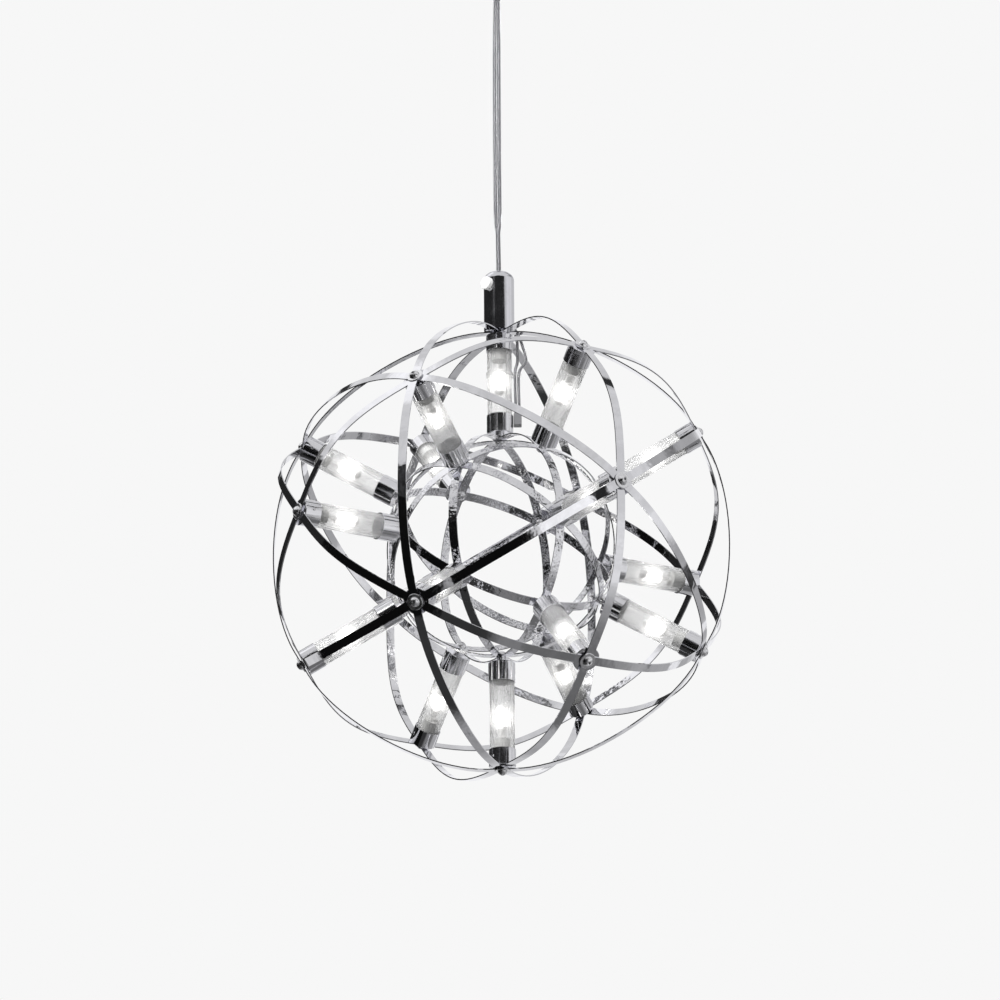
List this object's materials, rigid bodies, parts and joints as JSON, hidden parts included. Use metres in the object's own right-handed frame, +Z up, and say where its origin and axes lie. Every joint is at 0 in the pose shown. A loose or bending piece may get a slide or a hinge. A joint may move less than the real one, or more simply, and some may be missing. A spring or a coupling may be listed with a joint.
{
  "type": "orb chandelier",
  "caption": "Hanging orb chandelier: nested spheres of crossed chrome bands joined by radial glass tubes with capsule lamps, on a flat cord from a ceiling canopy with a ball swivel.",
  "frame": {"origin": "middle of the ceiling bracket's top face, between its two fixing slots, in the ceiling's plane", "axes": "+Z straight up out of the ceiling along the cord's line, so all hangs below in -Z; +X along the bracket, through both fixing slots; +Y square to it"},
  "size_m": [0.408, 0.406, 0.7905],
  "materials": {
    "chrome_band": "mirror-polished chrome strip with faintly brushed edges",
    "chrome_turned": "turned and polished chrome",
    "chrome_screw": "polished chrome screws",
    "chrome_stem": "mirror-polished chrome",
    "clear_glass": "clear drawn glass",
    "lamp_glass": "lit capsule lamp",
    "lamp_ceramic": "white glazed ceramic",
    "nickel_wire": "bare nickel-plated wire",
    "clear_cord": "clear insulation over tinned cores and a steel core",
    "clear_lead": "clear insulation over a tinned core",
    "clear_tie": "clear moulded plastic",
    "grey_terminal": "moulded",
    "brass_fitting": "turned brass",
    "zinc_steel": "zinc-plated steel",
    "white_plastic": "moulded"
  },
  "bodies": {
    "ceiling": {"canopy": "chrome_stem", "ceiling_bracket": "zinc_steel", "canopy_fixings": "zinc_steel", "canopy_nuts": "chrome_screw", "swivel_seat": "chrome_stem", "seat_nut": "brass_fitting", "transformer": "white_plastic"},
    "swivel": {"swivel_ball": "brass_fitting", "swivel_pin": "zinc_steel"},
    "cord": {"cord_clamp": "brass_fitting", "suspension_cord": "clear_cord", "cord_ferrule": "brass_fitting"},
    "orb": {"outer_hoop_1": "chrome_band", "outer_hoop_2": "chrome_band", "outer_hoop_3": "chrome_band", "outer_hoop_4": "chrome_band", "outer_hoop_5": "chrome_band", "outer_hoop_6": "chrome_band", "outer_hoop_7": "chrome_band", "inner_hoop_1": "chrome_band", "inner_hoop_2": "chrome_band", "inner_hoop_3": "chrome_band", "inner_hoop_4": "chrome_band", "inner_hoop_5": "chrome_band", "inner_hoop_6": "chrome_band", "inner_hoop_7": "chrome_band", "glass_tube_01": "clear_glass", "glass_tube_02": "clear_glass", "glass_tube_03": "clear_glass", "glass_tube_04": "clear_glass", "glass_tube_05": "clear_glass", "glass_tube_06": "clear_glass", "glass_tube_07": "clear_glass", "glass_tube_08": "clear_glass", "glass_tube_09": "clear_glass", "glass_tube_10": "clear_glass", "glass_tube_11": "clear_glass", "glass_tube_12": "clear_glass", "glass_tube_13": "clear_glass", "glass_tube_14": "clear_glass", "glass_tube_15": "clear_glass", "glass_tube_16": "clear_glass", "glass_tube_17": "clear_glass", "glass_tube_18": "clear_glass", "outer_caps": "chrome_turned", "inner_caps": "chrome_turned", "tube_spacers": "chrome_turned", "bulbs": "lamp_glass", "bulb_holders": "lamp_ceramic", "return_leads": "nickel_wire", "node_screws": "chrome_screw", "node_washers": "chrome_screw", "cap_set_screws": "chrome_screw", "stem_cup": "chrome_stem", "stem_base": "chrome_stem", "stem_screw": "chrome_screw", "stem_side_screw": "white_plastic", "feed_leads": "clear_lead", "feed_terminal": "grey_terminal", "lead_tie": "clear_tie"}
  },
  "joints": [
    {"name": "swing_sideways", "type": "hinge", "parent": "ceiling", "child": "swivel", "pos_m": [0, 0, -0.02402], "axis": [1, 0, 0], "range_deg": [-15, 15]},
    {"name": "swing_lengthways", "type": "hinge", "parent": "swivel", "child": "cord", "pos_m": [0, 0, -0.02402], "axis": [0, 1, 0], "range_deg": [-15, 15]},
    {"name": "orb_turn", "type": "hinge", "parent": "cord", "child": "orb", "pos_m": [0, 0, -0.33], "axis": [0, 0, 1], "range_deg": [-90, 90]}
  ]
}
